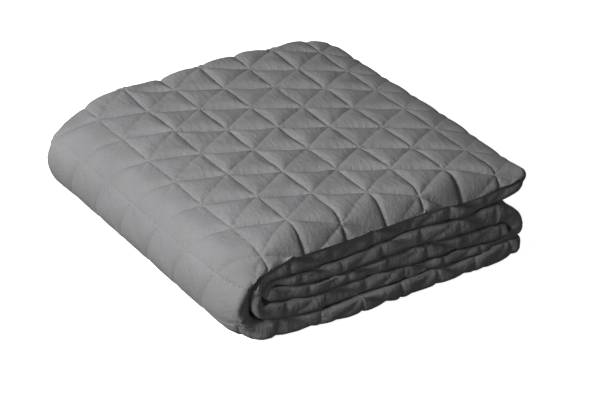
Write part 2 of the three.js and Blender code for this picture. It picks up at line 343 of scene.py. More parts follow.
tangent = np.gradient(centre_line, axis=0)
tangent /= np.linalg.norm(tangent, axis=1)[:, None]
outward = np.stack([-tangent[:, 1], tangent[:, 0]], axis=1)
skin_line = centre_line + outward * (make_up[:, 0] / 2)[:, None]
centre_steps = np.linalg.norm(np.diff(centre_line, axis=0), axis=1)
skin_steps = np.linalg.norm(np.diff(skin_line, axis=0), axis=1)
open_share = np.clip(make_up[:, 1], 0, 1)
along = np.concatenate([[0], np.cumsum(mix(centre_steps, skin_steps, open_share[1:]))])
past_line = (make_up[:, 1] > FULLY_OPEN) & (centre_line[:, 0] >= STITCH_LINE_X)
along -= along[np.argmax(past_line)]
headings = np.unwrap(np.arctan2(tangent[:, 1], tangent[:, 0]))
turned = np.concatenate([[0], np.cumsum(np.abs(np.diff(headings)))])
path = {
    "x": centre_line[:, 0], "z": centre_line[:, 1], "heading": headings,
    "thick": make_up[:, 0], "open": open_share, "setback": make_up[:, 2],
}
for key in ("back", "reach", "drape", "rim", "outer", "inner", "sink"):
    path[key] = straight_between(key)


def cut_at(length):
    """What the strip is like at a length along the cloth."""
    return {key: float(np.interp(length, along, values)) for key, values in path.items()}


top_cut = cut_at(0.0)
print("the strip is", round(along[-1] - along[0]), "mm long")
print("on top it is", round(top_cut["thick"]), "mm thick")

# %% [markdown]
# ## The cuts across the strip
# Every few millimetres the strip is cut across, and each cut is the same closed outline: out
# along the back fold and the outer face, round the front fold, back along the other face to
# the hem, and then in and out between the layers. The cuts and the rows on the outer faces
# fall on the stitch lines, so that each seam is a row of edges in the mesh.

# %% Where the strip is cut
CELL_STEPS = np.array([0, 0.03, 0.08, 0.15, 0.25, 0.37, 0.5, 0.63, 0.75, 0.85, 0.92, 0.97])
LARGEST_TURN = math.radians(18)
CLOSEST_CUT = 1.0


def cell_places(start, end, size):
    """The places from start to end that lie on stitch lines and at the steps between them."""
    cells = np.arange(math.floor(start / size), math.ceil(end / size))
    places = ((cells[:, None] + CELL_STEPS[None, :]) * size).ravel()
    return places[(places > start) & (places < end)]


on_lines = cell_places(along[0] + CLOSEST_CUT, along[-1] - CLOSEST_CUT, LINE_SPACING)
on_lines = np.concatenate([[along[0]], on_lines, [along[-1]]])
turned_there = np.interp(on_lines, along, turned)
cut_lengths = [on_lines[0]]
for index in range(1, len(on_lines)):
    parts = math.ceil((turned_there[index] - turned_there[index - 1]) / LARGEST_TURN)
    added = np.linspace(on_lines[index - 1], on_lines[index], max(parts, 1) + 1)
    cut_lengths += list(added[1:])
print(len(cut_lengths), "cuts")

# %% The front fold of a cut
# RIM_ANGLE is where the rim comes in the half turn, and the drape gets steeper towards it
BEND_STEPS = 48
BEND_SQUARE = 0.38
RIM_ANGLE = math.radians(125)
TUCK_DEPTH = 6
SLOPE_POWER = 2.1
bend_angle = np.linspace(0, math.pi, BEND_STEPS + 1)


def front_bend(cut, half, reach):
    """The front fold of the outer layer. A draped one slopes down to a rim and tucks in below."""
    round_out = np.sin(bend_angle) ** BEND_SQUARE
    round_up = np.sign(np.cos(bend_angle)) * np.abs(np.cos(bend_angle)) ** BEND_SQUARE
    slope = np.clip(bend_angle / RIM_ANGLE, 0, 1)
    tuck = np.clip((bend_angle - RIM_ANGLE) / (math.pi - RIM_ANGLE), 0, 1) * math.pi / 2
    drape_out = slope - TUCK_DEPTH / reach * (1 - np.cos(tuck))
    rim, drape = cut["rim"], cut["drape"]
    drape_up = 1 - (1 - rim) * slope**SLOPE_POWER - (1 + rim) * np.sin(tuck)
    free = mix(np.sin(bend_angle) ** 2, np.sin(slope * math.pi / 2) * np.cos(tuck) ** 2, drape)
    out = mix(round_out, drape_out, drape)
    up = mix(round_up, drape_up, drape)
    return -reach * out, half * up, free


print("the top drapes over", round(top_cut["reach"] * top_cut["thick"]), "mm at the front")

# %% What moves the outer layer of a cut
FOLD_FULLNESS = 0.85
DRAPE_FULLNESS = 0.7
DRAPE_SMOOTH = 0.7
MOSTLY_DRAPED = 0.5


def outer_freedom(cut, front_free):
    """How much the quilting, the shelf, the folds and the swells move each point of the run."""
    upper, lower, drape = cut["outer"], cut["inner"], cut["drape"]
    second_half = bend_angle > math.pi / 2
    downward = np.clip(np.cos(bend_angle), 0, 1)
    back_free = np.sin(bend_angle) ** 2
    back_rise = FOLD_FULLNESS * back_free + (1 - back_free) * np.where(second_half, upper, 0)
    front_full = mix(FOLD_FULLNESS, DRAPE_FULLNESS * upper, drape)
    on_lower = second_half & (drape < MOSTLY_DRAPED)
    front_rise = mix(np.where(on_lower, lower, upper), front_full, front_free)
    fold = np.concatenate([back_free, front_free, [0]])
    return {
        "rise": np.concatenate([back_rise, front_rise, [lower]]),
        "sink": cut["sink"] * np.concatenate([downward[::-1], downward, [0]]),
        "fold": fold,
        "crease": fold * (1 - DRAPE_SMOOTH * drape),
        "pleat": np.concatenate([0 * bend_angle, front_free * drape * cut["open"], [0]]),
        "swell": drape * np.concatenate([(1 - np.cos(bend_angle)) / 2, downward, [0]]),
    }


print("on a fold the quilting rises to", FOLD_FULLNESS, "of its height")

# %% The outer layer of a cut
FOLD_MARGIN = 12
BACK_MARGIN = 3
CLOSEST_ROW = 0.7
FREE_ENOUGH = 0.02


def half_round(y, bulge, start, end, steps):
    """A half turn that bulges from y, from one height in the strip to another."""
    angle = np.linspace(0, math.pi, steps + 1)
    return y + bulge * np.sin(angle), (start + end) / 2 + (start - end) / 2 * np.cos(angle)


def outer_skin(cut, layer, gap, shrink):
    """The outer layer's run round one cut, with what moves it, and its place across the cloth."""
    half = cut["thick"] / 2 - shrink
    reach = cut["reach"] * cut["thick"] - shrink
    back_reach = layer + BACK_FOLD_ROOM + shrink
    front_y = -STRIP_DEPTH / 2 + cut["setback"] + reach + shrink
    back = STRIP_DEPTH / 2 - cut["back"] - shrink
    back_y, hem_y = back - back_reach, back - OUTER_HEM_SETBACK
    back_y_run, back_n_run = half_round(back_y, back_reach, gap / 2, half, BEND_STEPS)
    front_y_run, front_n_run, front_free = front_bend(cut, half, reach)
    y = np.concatenate([back_y_run, front_y + front_y_run, [hem_y]])
    n = np.concatenate([back_n_run, front_n_run, [-half]])
    run = np.concatenate([[0], np.cumsum(np.hypot(np.diff(y), np.diff(n)))])
    across = back_y + run[BEND_STEPS] - run
    out = np.stack([np.gradient(n, run), -np.gradient(y, run)], axis=1)
    out /= np.linalg.norm(out, axis=1)[:, None]
    freedom = outer_freedom(cut, front_free)
    return np.stack([y, n, out[:, 0], out[:, 1], *freedom.values()], axis=1), across


def chosen_rows(cut, across):
    """The rows of the quilting that this cut needs: every one where a face or fold is free."""
    start, end = across[-1] + CLOSEST_ROW - CROSSING_Y, across[0] - CLOSEST_ROW - CROSSING_Y
    rows = cell_places(start, end, TRIANGLE_SIDE / 2)[::-1] + CROSSING_Y
    back_end, front_start, front_end = across[BEND_STEPS], across[BEND_STEPS + 1], across[-2]
    on_fold = rows > back_end - BACK_MARGIN
    on_fold |= (rows < front_start + FOLD_MARGIN) & (rows > front_end - FOLD_MARGIN)
    on_outer = (rows <= back_end) & (rows >= front_start) & (cut["outer"] > FREE_ENOUGH)
    on_inner = (rows <= front_end) & (cut["inner"] > FREE_ENOUGH)
    return rows[on_fold | on_outer | on_inner]


_, top_across = outer_skin(top_cut, top_cut["thick"] / LAYERS, LAYER_GAP, 0)
print("on the top it has", len(chosen_rows(top_cut, top_across)), "rows of points")

# %% The whole outline of a cut
# order numbers the points round the outline, so that two cuts can be joined by it
Outline = namedtuple("Outline", "y n out_y out_n rise sink fold crease pleat swell across order")
ORDER_START = 300
ORDER_LENGTH = 1000
HEM_ORDER = 0.97
DRAPE_ROOM = 0.25
HEM_BEND = 4
LAYER_BEND = 6
SLIT_BEND = 2


def hidden_run(cut, layer, gap, shrink):
    """The run that doesn't show, from the outer hem in and out between the layers."""
    half = cut["thick"] / 2 - shrink
    inner = half - layer - gap
    reach = (cut["reach"] * cut["thick"] - shrink) * (1 - DRAPE_ROOM * cut["drape"])
    front_y = -STRIP_DEPTH / 2 + cut["setback"] + cut["reach"] * cut["thick"]
    hem_y = STRIP_DEPTH / 2 - cut["back"] - shrink
    back_y = hem_y - layer - BACK_FOLD_ROOM - shrink
    bends = [
        half_round(hem_y - OUTER_HEM_SETBACK, HEM_REACH * layer, -half, layer - half, HEM_BEND),
        half_round(front_y, layer - reach, layer - half, half - layer, LAYER_BEND),
        half_round(back_y, BACK_FOLD_ROOM, half - layer, inner, SLIT_BEND),
        half_round(front_y, layer + gap - reach, inner, -inner, LAYER_BEND),
        half_round(hem_y - INNER_HEM_SETBACK, HEM_REACH * layer, -inner, -gap / 2, HEM_BEND),
        half_round(front_y, 2 * layer + gap - reach, -gap / 2, gap / 2, SLIT_BEND),
    ]
    return (np.concatenate([bend[part] for bend in bends])[1:] for part in (0, 1))


def cut_outline(cut, shrink_share=0.0):
    """All the points of one cut. A share of the layers' thickness is taken off at a hem."""
    full_layer = (cut["thick"] - (LAYERS - 1) * LAYER_GAP) / LAYERS
    shrink = shrink_share * full_layer / 2
    layer = full_layer - 2 * shrink
    gap = LAYER_GAP + 2 * shrink
    table, across = outer_skin(cut, layer, gap, shrink)
    rows = np.concatenate([[across[0]], chosen_rows(cut, across), [across[-1]]])
    order = (ORDER_START - rows) / ORDER_LENGTH
    order[0], order[-1] = 0, HEM_ORDER
    skin_columns = [np.interp(-rows, -across, column) for column in table.T]

    y, n = hidden_run(cut, layer, gap, shrink)
    steps = np.hypot(np.diff(y, prepend=y[0]), np.diff(n, prepend=n[0]))
    hidden_across = across[-1] - HEM_REACH * layer - np.cumsum(steps)
    hidden_order = 1 + np.arange(len(y)) / len(y)
    unmoved = [np.zeros(len(y))] * (len(skin_columns) - 2)
    columns = zip((*skin_columns, rows, order), (y, n, *unmoved, hidden_across, hidden_order))
    return Outline(*(np.concatenate(column) for column in columns))


print("a cut on the top has", len(cut_outline(top_cut).y), "points")

# %% [markdown]
# ## The relief of the quilting
# Between the stitch lines the filling lifts each triangle into a soft dome, steep at the seams
# and flat on top. The thread also gathers the cloth, so that small puckers cross the seams,
# and no two triangles are quite alike. Moving the points out of the face gives all of this
# as real shape, which a bump texture wouldn't show at the outline.

# %% Noise and stitch lines
NOISE_SIZE = 97
NOISE_ROW = 0.5
SEEDS = {
    "billow": 5, "rumple": 7, "dome": 11, "puckers": (20, 21, 22),
    "sideways": 31, "lengthways": 32, "crumple": 41, "wobble": 43,
}


def random_grid(seed):
    """A square of fixed random numbers from -1 to 1."""
    return np.random.default_rng(seed).uniform(-1, 1, (NOISE_SIZE, NOISE_SIZE))


def soft_noise(u, v, seed):
    """Smooth hills and hollows from -1 to 1, about one for each unit of u and v."""
    grid = random_grid(seed)
    left, low = np.floor(u).astype(int), np.floor(v).astype(int)
    s, t = u - left, v - low
    s, t = s * s * (3 - 2 * s), t * t * (3 - 2 * t)
    left, right = left % NOISE_SIZE, (left + 1) % NOISE_SIZE
    low, high = low % NOISE_SIZE, (low + 1) % NOISE_SIZE
    below = mix(grid[left, low], grid[right, low], s)
    above = mix(grid[left, high], grid[right, high], s)
    return mix(below, above, t)


def stitch_numbers(lengths, across):
    """How many stitch lines of each family lie before a point of the flat cloth."""
    first = lengths / LINE_SPACING
    rising = (across - CROSSING_Y) / TRIANGLE_SIDE - first / 2
    return first, rising, rising + first


print(len(stitch_numbers(0.0, 0.0)), "families of stitch lines")

# %% Domes and puckers
# The cloth is drawn in beside a seam, for each family over its own reach, and to its own depth
# half way between two crossings
PUFF_RISE = 3.2
PUFF_REACH = (4.5, 5.5, 4.8)
PUFF_DEPTH = (1.0, 0.72, 2.2)
SEAM_POWER = 6
DOME_RISE = 0.4
DOME_VARIATION = 0.3
PUCKER_RISE = 0.55
PUCKER_REACH = 4.5
PUCKER_LENGTH = 7.5
SEAM_STEP = 7.3
RUMPLE_RISE = 0.5
RUMPLE_SIZE = (19, 14)
BILLOW_RISE = 1.0
BILLOW_LENGTH = 95

# The product of two shares is a quarter half way along a side, and of three a 27th in the middle
HALF_WAY = 4
IN_MIDDLE = 27


def domes(first, rising):
    """The height of the triangles, each filled a little differently."""
    a, b = first - np.floor(first), rising - np.floor(rising)
    upright = a + b < 1
    shares = np.where(upright, [a, b, 1 - a - b], [1 - a, 1 - b, a + b - 1])
    shares = np.clip(shares, 0, 1)
    drawn_in = 0
    for family, (reach, depth) in enumerate(zip(PUFF_REACH, PUFF_DEPTH)):
        from_crossing = np.clip(HALF_WAY * shares[family - 1] * shares[family - 2], 0, 1)
        draw = mix(1, depth, from_crossing) * np.exp(-shares[family] * LINE_SPACING / reach)
        drawn_in += draw ** SEAM_POWER
    puff = 1 - drawn_in ** (1 / SEAM_POWER)
    dome = IN_MIDDLE * shares.prod(axis=0)
    column = np.floor(first).astype(int) % NOISE_SIZE
    row = (2 * np.floor(rising).astype(int) + upright) % NOISE_SIZE
    filling = 1 + DOME_VARIATION * random_grid(SEEDS["dome"])[column, row]
    return (PUFF_RISE * puff + DOME_RISE * dome) * filling


def quilted_relief(lengths, across):
    """How far the quilting lifts each point of the flat cloth."""
    numbers = stitch_numbers(lengths, across)
    relief = domes(*numbers[:2])
    runs_along = (across, lengths + across / 2, lengths - across / 2)
    for number, run, seed in zip(numbers, runs_along, SEEDS["puckers"]):
        away = np.abs(number - np.round(number)) * LINE_SPACING / PUCKER_REACH
        ripple = soft_noise(run / PUCKER_LENGTH, np.round(number) * SEAM_STEP + NOISE_ROW, seed)
        relief += PUCKER_RISE * ripple * away * np.exp(1 - away)
    u, v = lengths / BILLOW_LENGTH, across / BILLOW_LENGTH
    relief += BILLOW_RISE * soft_noise(u, v, SEEDS["billow"])
    u, v = lengths / RUMPLE_SIZE[0], across / RUMPLE_SIZE[1]
    return relief + RUMPLE_RISE * soft_noise(u, v, SEEDS["rumple"])


one_dome = quilted_relief(np.array([LINE_SPACING / 3]), np.array([CROSSING_Y]))
print("one dome is", round(float(one_dome[0]), 2), "mm high")

# %% Pleats, crumples and drift
PLEAT_DEPTH = 1.4
PLEAT_WIDTH = 1.6
CRUMPLE_RISE = 0.7
CRUMPLE_SIZE = (9, 17)
WOBBLE = 1.3
WOBBLE_LENGTH = 34
DRIFT = 1.0
DRIFT_LENGTH = 42


def pleats(lengths):
    """The seams that run over the front edge pull it in."""
    from_line = np.abs(lengths / LINE_SPACING - np.round(lengths / LINE_SPACING)) * LINE_SPACING
    return -PLEAT_DEPTH * np.exp(-((from_line / PLEAT_WIDTH) ** 2))


def crumples(lengths, across):
    """Small dents on the folds."""
    u, v = lengths / CRUMPLE_SIZE[0], across / CRUMPLE_SIZE[1]
    return CRUMPLE_RISE * soft_noise(u, v, SEEDS["crumple"])


def wobble(lengths):
    """How far a fold comes forward along its length."""
    return WOBBLE * soft_noise(lengths / WOBBLE_LENGTH, 0 * lengths + NOISE_ROW, SEEDS["wobble"])


def drift(lengths, across, seed):
    """How far the stitch lines stray on the soft cloth."""
    return DRIFT * soft_noise(lengths / DRIFT_LENGTH, across / DRIFT_LENGTH, seed)


print("a pleat is", round(-float(pleats(0.0)), 1), "mm deep")

# %% [markdown]
# ## Uneven places
# Hands folded this pile, so the edges of its top don't lie straight. The back edge rises in soft
# swells, has a hollow where it goes down to the left fold and bulges below it, and the right
# edge lifts in the middle and drops at the front. These could be sculpted, but a short table
# of round bumps, placed along the cloth, is easier to adjust.

# %% Swells of the top
Swell = namedtuple("Swell", "length y rise reach")
SWELLS = [
    Swell(-97, 176, 4.5, 26),
    Swell(-163, 178, -7.2, 18),
    Swell(-201, 184, 8.5, 31),
    Swell(-56, 184, -3.2, 24),
    Swell(0, 184, 3.2, 36),
    Swell(60, 184, 1.8, 40),
    Swell(115, 184, 2.6, 38),
    Swell(174, -30, 1.2, 62),
    Swell(176, -150, -1.5, 40),
]


def swelling(lengths, y):
    """How far all the bumps together lift a point."""
    away = [np.hypot(lengths - swell.length, y - swell.y) / swell.reach for swell in SWELLS]
    return sum(swell.rise * np.exp(-far * far) for swell, far in zip(SWELLS, away))


print(len(SWELLS), "uneven places")

# %% [markdown]
# ## Joining the cuts into one sheet
# Two neighbouring cuts don't always have the same number of points, since a free face has
# more of them. Walking round both outlines together and always stepping to the nearer next
# point joins them without a gap. Where the points match, the diagonal follows the stitches.

# %% Rows of points
Row = namedtuple("Row", "length beyond cut outline")
HEM_ANGLES = (35, 65, 85)


def hem_rows(cut, length, direction):
    """A few narrowing cuts beyond the end of the strip round off the hem."""
    narrowing = []
    for angle in map(math.radians, HEM_ANGLES):
        beyond = direction * HEM_REACH * cut["thick"] / LAYERS * math.sin(angle)
        narrowing.append(Row(length, beyond, cut, cut_outline(cut, 1 - math.cos(angle))))
    return narrowing


cuts = [cut_at(length) for length in cut_lengths]
sheet_rows = hem_rows(cuts[0], cut_lengths[0], -1)[::-1]
sheet_rows += [Row(length, 0.0, cut, cut_outline(cut)) for length, cut in zip(cut_lengths, cuts)]
sheet_rows += hem_rows(cuts[-1], cut_lengths[-1], 1)
row_sizes = [len(row.outline.y) for row in sheet_rows]
row_starts = np.concatenate([[0], np.cumsum(row_sizes)])
print(len(sheet_rows), "rows of points")

# %% Points of the sheet
DRIFT_START = 0.3


def spread(values):
    """One value for each row, repeated for all the points of the row."""
    return np.repeat(np.array(values, float), row_sizes)


point_length = spread([row.length + row.beyond for row in sheet_rows])
beyond_end = spread([row.beyond for row in sheet_rows])
centre_x, centre_z, slant = (
    spread([row.cut[key] for row in sheet_rows]) for key in ("x", "z", "heading"))
base = Outline(*(
    np.concatenate([getattr(row.outline, key) for row in sheet_rows]) for key in Outline._fields))

lift = base.rise * quilted_relief(point_length, base.across) - base.sink
lift += base.pleat * pleats(point_length)
lift += base.crease * crumples(point_length, base.across) + base.fold * wobble(point_length)
free_to_drift = np.clip(base.rise / DRIFT_START, 0, 1)
sideways = free_to_drift * drift(point_length, base.across, SEEDS["sideways"])
lengthways = free_to_drift * drift(point_length, base.across, SEEDS["lengthways"]) + beyond_end
y = base.y + base.out_y * lift + base.out_n * sideways
n = base.n + base.out_n * lift - base.out_y * sideways + base.swell * swelling(point_length, base.y)
x = centre_x - np.sin(slant) * n + np.cos(slant) * lengthways
z = centre_z + np.cos(slant) * n + np.sin(slant) * lengthways
points = np.stack([x + CENTRE_SHIFT[0], y + CENTRE_SHIFT[1], np.maximum(z, 0)], axis=1) * MILLIMETRE
print(len(points), "points")

# %% Faces of the sheet
SAME_ORDER = 1e-6
FULL_TURN = 10


def stitch_rises(length, across):
    """Whether the slanting stitch line through this cell of the quilting rises with the strip."""
    column = math.floor(length / LINE_SPACING)
    row = math.floor((across - CROSSING_Y) * 2 / TRIANGLE_SIDE)
    return (row - column) % 2 == 0


def join_cuts(first, second, first_start, second_start, middle_length):
    """The faces between two outlines, whose points are numbered from their starts."""
    orders = [[*outline.order, FULL_TURN] for outline in (first, second)]
    counts = [len(first.order), len(second.order)]
    here = there = 0
    joined = []
    while here < counts[0] or there < counts[1]:
        a, a_next = first_start + here, first_start + (here + 1) % counts[0]
        b, b_next = second_start + there, second_start + (there + 1) % counts[1]
        both = here < counts[0] and there < counts[1]
        lead = orders[0][here + 1] - orders[1][there + 1] if both else 0
        if both and abs(lead) < SAME_ORDER:
            next_across = first.across[(here + 1) % counts[0]]
            if stitch_rises(middle_length, (first.across[here] + next_across) / 2):
                joined += [(a, a_next, b), (a_next, b_next, b)]
            else:
                joined += [(a, a_next, b_next), (a, b_next, b)]
            here, there = here + 1, there + 1
        elif there >= counts[1] or (here < counts[0] and lead < 0):
            joined.append((a, a_next, b))
            here += 1
        else:
            joined.append((a, b_next, b))
            there += 1
    return joined


faces = []
for index, (row, next_row) in enumerate(zip(sheet_rows, sheet_rows[1:])):
    middle_length = (row.length + next_row.length) / 2
    row_start, next_start = row_starts[index], row_starts[index + 1]
    faces += join_cuts(row.outline, next_row.outline, row_start, next_start, middle_length)
faces.append(tuple(range(row_starts[1] - 1, row_starts[0] - 1, -1)))
faces.append(tuple(range(row_starts[-2], row_starts[-1])))
faces = [tuple(int(corner) for corner in face) for face in faces]

blanket_mesh = bpy.data.meshes.new("quilted_blanket")
blanket_mesh.from_pydata(points.tolist(), [], faces)
blanket = add_object("quilted_blanket", blanket_mesh)
print(len(faces), "faces")

# %% [markdown]
# ## Seams and a map of the flat cloth
# Smooth shading runs over everything, except at the stitched seams, where the cloth has a
# crease, and at the cut edges of the hem. The map stores each point's place on the flat cloth,
# so that the weave follows the cloth round its folds.

# %% Shading with sharp seams
SEAM_NEAR = 1e-4
SEAM_RISE = 0.1
SHARP_ANGLE = math.radians(60)

blanket_mesh.shade_smooth()
blanket_mesh.set_sharp_from_angle(angle=SHARP_ANGLE)
edge_ends = np.empty(len(blanket_mesh.edges) * 2, int)
blanket_mesh.edges.foreach_get("vertices", edge_ends)
edge_ends = edge_ends.reshape(-1, 2)
is_seam = np.zeros(len(edge_ends), bool)
for number in stitch_numbers(point_length, base.across):
    line = np.round(number).astype(int)
    on_line = (np.abs(number - line) < SEAM_NEAR) & (base.rise > SEAM_RISE)
    same_line = line[edge_ends[:, 0]] == line[edge_ends[:, 1]]
    is_seam |= on_line[edge_ends[:, 0]] & on_line[edge_ends[:, 1]] & same_line
sharp = blanket_mesh.attributes.get("sharp_edge")
if sharp is None:
    sharp = blanket_mesh.attributes.new("sharp_edge", "BOOLEAN", "EDGE")
is_sharp = np.empty(len(edge_ends), bool)
sharp.data.foreach_get("value", is_sharp)
sharp.data.foreach_set("value", is_sharp | is_seam)
print(int(is_seam.sum()), "edges lie on seams")

# %% The cloth map and where it wrinkles
TOP_WRINKLES = 0.65
TOP_RISE = 0.5
MAP_SCALE = 0.01

corner_point = np.empty(len(blanket_mesh.loops), int)
blanket_mesh.loops.foreach_get("vertex_index", corner_point)
flat_places = np.stack([point_length, base.across], axis=1)[corner_point] * MAP_SCALE
cloth_map = blanket_mesh.uv_layers.new(name="cloth")
cloth_map.data.foreach_set("uv", flat_places.astype(np.float32).ravel())
crease_mask = blanket_mesh.attributes.new("crease", "FLOAT", "POINT")
creased = np.maximum(base.crease, TOP_WRINKLES * base.rise * (base.rise > TOP_RISE))
crease_mask.data.foreach_set("value", creased.astype(np.float32))
print(len(corner_point), "corners on the map")

# %% [markdown]
# ## The quilting thread
# The seams are sewn with a thread whose stitches catch the light as thin dotted lines. Its colour
# is paler than the cloth's, partly its own tone and partly a painted highlight.
# A painted line would do from afar. Real stitches are made by Geometry Nodes here: the seam
# edges become curves, the curves are divided into stitches, and one small stitch is set on
# every point.

# %% Seam lines that show
SEAM_FOOT = 3.0

shows = z > SEAM_FOOT
seam_edges = edge_ends[is_seam & shows[edge_ends[:, 0]] & shows[edge_ends[:, 1]]]
used, numbered = np.unique(seam_edges, return_inverse=True)
seam_mesh = bpy.data.meshes.new("quilting_thread")
seam_mesh.from_pydata(points[used].tolist(), numbered.reshape(-1, 2).tolist(), [])
seam_lines = add_object("seam_lines", seam_mesh)
print(len(seam_edges), "seam edges show")

# %% Thread material
# Both thread tones are paler than the cloth's, which paints a highlight on the stitches; noise
# mixes them into an uneven tone
THREAD_DARK_WITH_HIGHLIGHT = (0.19, 0.19, 0.194, 1)
THREAD_PALE_WITH_HIGHLIGHT = (0.33, 0.33, 0.334, 1)
THREAD_ROUGHNESS = 0.6
THREAD_SHINE = 0.3
FIBRES_PER_METRE = 900

thread = bpy.data.materials.new("quilting_thread")
thread.use_nodes = True
thread_surface = thread.node_tree.nodes["Principled BSDF"]
thread_surface.inputs["Roughness"].default_value = THREAD_ROUGHNESS
thread_surface.inputs["Specular IOR Level"].default_value = THREAD_SHINE
thread_place = thread.node_tree.nodes.new("ShaderNodeTexCoord")
thread_noise = thread.node_tree.nodes.new("ShaderNodeTexNoise")
thread_noise.inputs["Scale"].default_value = FIBRES_PER_METRE
# The mix is the thread's uneven tone with a painted highlight in it
thread_tone_with_highlight = thread.node_tree.nodes.new("ShaderNodeMix")
thread_tone_with_highlight.data_type = "RGBA"
thread_tone_with_highlight.inputs["A"].default_value = THREAD_DARK_WITH_HIGHLIGHT
thread_tone_with_highlight.inputs["B"].default_value = THREAD_PALE_WITH_HIGHLIGHT
thread.node_tree.links.new(thread_place.outputs["Object"], thread_noise.inputs["Vector"])
thread.node_tree.links.new(thread_noise.outputs["Fac"], thread_tone_with_highlight.inputs["Factor"])
thread.node_tree.links.new(thread_tone_with_highlight.outputs["Result"], thread_surface.inputs["Base Color"])
print(len(thread.node_tree.nodes), "nodes in the thread")

# %% A tree that sews stitches along edges
stitch_tree = bpy.data.node_groups.new("stitches", "GeometryNodeTree")
stitch_tree.is_modifier = True
sockets = stitch_tree.interface
sockets.new_socket("Geometry", in_out="INPUT", socket_type="NodeSocketGeometry")
pitch_input, length_input, width_input = (
    sockets.new_socket(name, in_out="INPUT", socket_type="NodeSocketFloat")
    for name in ("Pitch", "Length", "Width"))
sockets.new_socket("Geometry", in_out="OUTPUT", socket_type="NodeSocketGeometry")

given = stitch_tree.nodes.new("NodeGroupInput")
sewn = stitch_tree.nodes.new("NodeGroupOutput")
to_curve = stitch_tree.nodes.new("GeometryNodeMeshToCurve")
divide = stitch_tree.nodes.new("GeometryNodeResampleCurve")
divide.mode = "LENGTH"
one_stitch = stitch_tree.nodes.new("GeometryNodeMeshIcoSphere")
# A ball as wide as 1, so that its scale is the size of the stitch
one_stitch.inputs["Radius"].default_value = 0.5
one_stitch.inputs["Subdivisions"].default_value = 1
stitch_size = stitch_tree.nodes.new("ShaderNodeCombineXYZ")
seam_direction = stitch_tree.nodes.new("GeometryNodeInputTangent")
turn_to = stitch_tree.nodes.new("FunctionNodeAlignRotationToVector")
turn_to.axis = "Z"
place_all = stitch_tree.nodes.new("GeometryNodeInstanceOnPoints")
realize = stitch_tree.nodes.new("GeometryNodeRealizeInstances")
dye = stitch_tree.nodes.new("GeometryNodeSetMaterial")
dye.inputs["Material"].default_value = thread
for source, target in (
    (given.outputs["Geometry"], to_curve.inputs["Mesh"]),
    (to_curve.outputs["Curve"], divide.inputs["Curve"]),
    (given.outputs["Pitch"], divide.inputs["Length"]),
    (divide.outputs["Curve"], place_all.inputs["Points"]),
    (one_stitch.outputs["Mesh"], place_all.inputs["Instance"]),
    (given.outputs["Width"], stitch_size.inputs["X"]),
    (given.outputs["Width"], stitch_size.inputs["Y"]),
    (given.outputs["Length"], stitch_size.inputs["Z"]),
    (stitch_size.outputs["Vector"], place_all.inputs["Scale"]),
    (seam_direction.outputs["Tangent"], turn_to.inputs["Vector"]),
    (turn_to.outputs["Rotation"], place_all.inputs["Rotation"]),
    (place_all.outputs["Instances"], realize.inputs["Geometry"]),
    (realize.outputs["Geometry"], dye.inputs["Geometry"]),
    (dye.outputs["Geometry"], sewn.inputs["Geometry"]),
):
    stitch_tree.links.new(source, target)
print(len(stitch_tree.nodes), "nodes sew the stitches")

# %% Stitches along the seams, in metres
STITCH_PITCH = 0.0027
STITCH_LENGTH = 0.0020
STITCH_WIDTH = 0.0007
STITCH_FACES = 20

sewing = seam_lines.modifiers.new("stitches", "NODES")
sewing.node_group = stitch_tree
sewing[pitch_input.identifier] = STITCH_PITCH
sewing[length_input.identifier] = STITCH_LENGTH
sewing[width_input.identifier] = STITCH_WIDTH
evaluated = seam_lines.evaluated_get(bpy.context.evaluated_depsgraph_get())
stitch_mesh = bpy.data.meshes.new_from_object(evaluated)
stitches = add_object("quilting_thread", stitch_mesh)
bpy.data.objects.remove(seam_lines)
stitch_mesh.shade_smooth()
print(len(stitch_mesh.polygons) // STITCH_FACES, "stitches")

# %% [markdown]
# ## The cloth's finish
# The cover is a fine, soft weave in one grey. Three things keep it from looking like plastic:
# uneven threads, which a stretched noise gives in both directions of the weave, short puckers
# that the stitching draws into the cloth beside each seam, and small wrinkles, which are
# clearest on the folds. All of them read the map of the flat cloth, so they follow it round
# the folds.

# %% Cloth material and its map
SHEEN = 0.03
CLOTH_SHINE = 0.2

cloth = bpy.data.materials.new("quilted_cloth")
cloth.use_nodes = True
cloth_tree = cloth.node_tree
cloth_surface = cloth_tree.nodes["Principled BSDF"]
cloth_surface.inputs["Sheen Weight"].default_value = SHEEN
cloth_surface.inputs["Specular IOR Level"].default_value = CLOTH_SHINE
map_node = cloth_tree.nodes.new("ShaderNodeUVMap")
map_node.uv_map = cloth_map.name
blanket_mesh.materials.append(cloth)
print("the cloth reads the map", map_node.uv_map)

# %% Weave and nap
SLUB_SIZE = (0.9, 5.0)
NAP_SIZE = 45
FINE_DETAIL = 2
PLAIN_DETAIL = 1
NOISE_MEAN = 0.5


def calculate(tree, operation, *values):
    """A Math node on sockets and plain numbers."""
    node = tree.nodes.new("ShaderNodeMath")
    node.operation = operation
    for socket, value in zip(node.inputs, values):
        if isinstance(value, bpy.types.NodeSocket):
            tree.links.new(value, socket)
        else:
            socket.default_value = value
    return node.outputs["Value"]


def measured(per_mm):
    """How far a point of the cloth lies along a direction, counted per millimetre."""
    node = cloth_tree.nodes.new("ShaderNodeVectorMath")
    node.operation = "DOT_PRODUCT"
    cloth_tree.links.new(map_node.outputs["UV"], node.inputs[0])
    node.inputs[1].default_value = (*(part / MAP_SCALE for part in per_mm), 0)
    return node.outputs["Value"]


